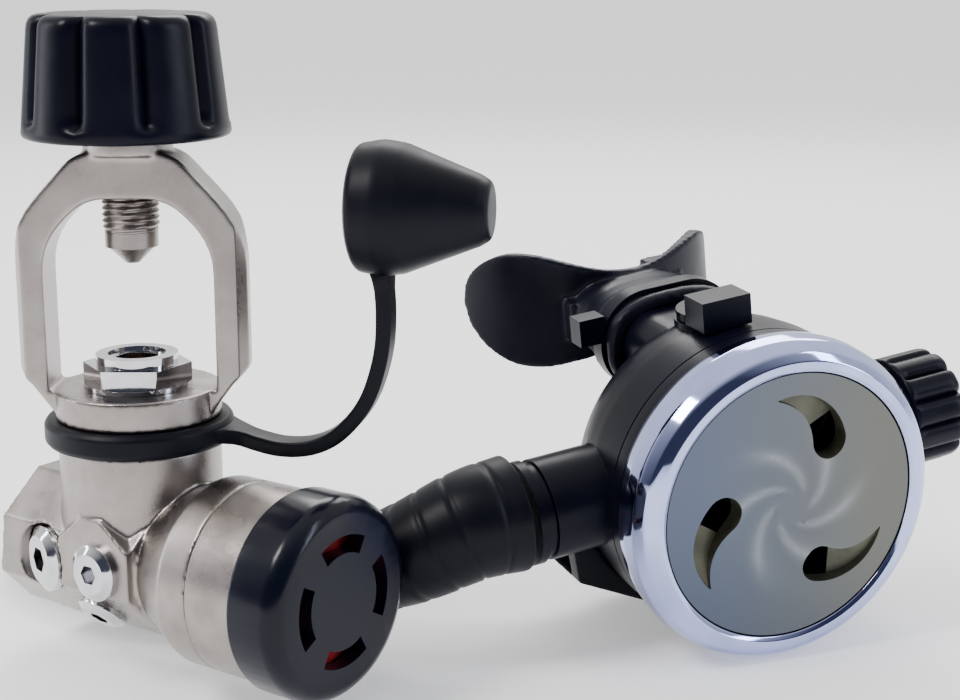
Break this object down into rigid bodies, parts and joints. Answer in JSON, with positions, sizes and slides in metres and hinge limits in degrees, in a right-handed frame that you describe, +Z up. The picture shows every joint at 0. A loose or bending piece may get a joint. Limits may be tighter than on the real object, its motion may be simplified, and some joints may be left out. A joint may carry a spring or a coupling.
{
  "type": "scuba regulator set",
  "caption": "Scuba regulator set: yoke-clamp diaphragm first stage with a tethered dust cap, low-pressure hose, and a round second stage with purge plate and mouthpiece.",
  "frame": {"origin": "centre of the inlet seat, on the top face of the yoke retainer", "axes": "+Z up the yoke axis towards the knob, +X along the width of the yoke towards the second stage, +Y to the back"},
  "size_m": [0.2513, 0.166, 0.1529],
  "materials": {
    "nickel": "satin nickel plating over brass",
    "chrome": "polished chrome plating",
    "steel": "bright stainless steel",
    "brass": "machined brass",
    "bronze": "sintered bronze",
    "black_plastic": "moulded, fine satin texture",
    "gloss_black": "moulded, semi-gloss",
    "black_rubber": "moulded rubber, soft sheen",
    "hose_rubber": "extruded rubber with a fine pricked surface",
    "silicone": "matt black silicone",
    "clear_silicone": "translucent silicone",
    "plate_grey": "blue-grey metallic",
    "red_plastic": "anodised red",
    "white_plastic": "natural acetal"
  },
  "bodies": {
    "first_stage": {"valve_body": "nickel", "yoke_retainer": "chrome", "inlet_filter": "bronze", "filter_clip": "steel", "yoke": "nickel", "diaphragm_clamp": "nickel", "ambient_cap": "gloss_black", "spring_adjuster": "red_plastic", "main_spring": "steel", "main_diaphragm": "black_rubber", "inlet_poppet_spring": "steel", "port_plugs": "chrome", "gauge_port_plug": "chrome", "plug_o_rings": "black_rubber", "hose_fitting": "chrome", "hose_ferrule": "chrome", "hose": "hose_rubber", "hose_protector": "black_rubber", "swivel_nut": "black_plastic"},
    "screw_pad": {"screw_tip": "nickel"},
    "yoke_knob": {"yoke_screw": "nickel", "yoke_knob": "black_plastic"},
    "dust_cap_ring": {"strap_ring": "black_rubber", "strap": "black_rubber"},
    "dust_cap": {"dust_cap": "black_rubber"},
    "high_pressure_valve": {"spring_carrier": "brass", "pushrod": "brass", "inlet_poppet": "brass"},
    "second_stage": {"second_stage_case": "black_plastic", "front_cover": "black_plastic", "bezel": "chrome", "demand_diaphragm": "clear_silicone", "valve_barrel": "chrome", "orifice_seat": "brass", "poppet_spring": "steel", "mouthpiece": "silicone", "mouthpiece_tie": "black_plastic", "exhaust_tee": "black_rubber", "exhaust_valve": "silicone"},
    "purge_button": {"purge_plate": "plate_grey", "purge_spring": "steel"},
    "demand_lever": {"demand_lever": "steel"},
    "poppet": {"poppet": "white_plastic"},
    "adjuster": {"adjusting_shaft": "steel", "adjust_knob": "black_plastic"},
    "spring_pad": {"spring_pad": "white_plastic"},
    "venturi": {"venturi_lever": "black_plastic", "venturi_vane": "black_plastic"}
  },
  "joints": [
    {"name": "screw_feed", "type": "slide", "parent": "first_stage", "child": "screw_pad", "axis": [0, 0, 1], "range_m": [0, 0.0064]},
    {"name": "yoke_knob_turn", "type": "hinge", "parent": "screw_pad", "child": "yoke_knob", "pos_m": [0, 0, 0.05], "axis": [0, 0, 1], "range_deg": [0, 1260]},
    {"name": "dust_cap_swivel", "type": "hinge", "parent": "first_stage", "child": "dust_cap_ring", "pos_m": [0, 0, -0.0174], "axis": [0, 0, 1], "continuous": true},
    {"name": "strap_flex", "type": "hinge", "parent": "dust_cap_ring", "child": "dust_cap", "pos_m": [0.0453, -0.00799, -0.002], "axis": [0.1736, 0.9848, 0], "range_deg": [-18, 30], "stiffness_Nm_per_rad": 0.25, "deforming": ["strap"]},
    {"name": "valve_lift", "type": "slide", "parent": "first_stage", "child": "high_pressure_valve", "axis": [-0.8141, 0.5807, 0], "range_m": [0, 0.0008]},
    {"name": "hose_swivel", "type": "hinge", "parent": "first_stage", "child": "second_stage", "pos_m": [0.09171, 0.00443, -0.03985], "axis": [0.9186, 0.37, 0.1388], "continuous": true},
    {"name": "purge_press", "type": "slide", "parent": "second_stage", "child": "purge_button", "axis": [-0.3818, 0.9216, 0.0698], "range_m": [0, 0.003], "stiffness_N_per_m": 250, "deforming": ["purge_spring"]},
    {"name": "lever_tilt", "type": "hinge", "parent": "second_stage", "child": "demand_lever", "pos_m": [0.15861, 0.02923, -0.02999], "axis": [0.1021, 0.1171, -0.9879], "range_deg": [0, 6.1]},
    {"name": "poppet_slide", "type": "slide", "parent": "second_stage", "child": "poppet", "axis": [0.9186, 0.37, 0.1388], "range_m": [0, 0.00065]},
    {"name": "adjust_knob_turn", "type": "hinge", "parent": "second_stage", "child": "adjuster", "pos_m": [0.17714, 0.03884, -0.02694], "axis": [0.9186, 0.37, 0.1388], "range_deg": [-360, 360]},
    {"name": "pad_feed", "type": "slide", "parent": "second_stage", "child": "spring_pad", "axis": [0.9186, 0.37, 0.1388], "range_m": [-0.00101, 0.00101]},
    {"name": "venturi_turn", "type": "hinge", "parent": "second_stage", "child": "venturi", "pos_m": [0.13509, 0.0234, 0.00434], "axis": [-0.1021, -0.1171, 0.9879], "range_deg": [-30, 30]}
  ],
  "couplings": [
    {"joint": "screw_feed", "follows": "yoke_knob_turn", "m_per_rad": 0.00028648},
    {"joint": "lever_tilt", "follows": "purge_press", "rad_per_m": 34.907},
    {"joint": "poppet_slide", "follows": "purge_press", "ratio": 0.2},
    {"joint": "pad_feed", "follows": "adjust_knob_turn", "m_per_rad": 0.00015915}
  ]
}
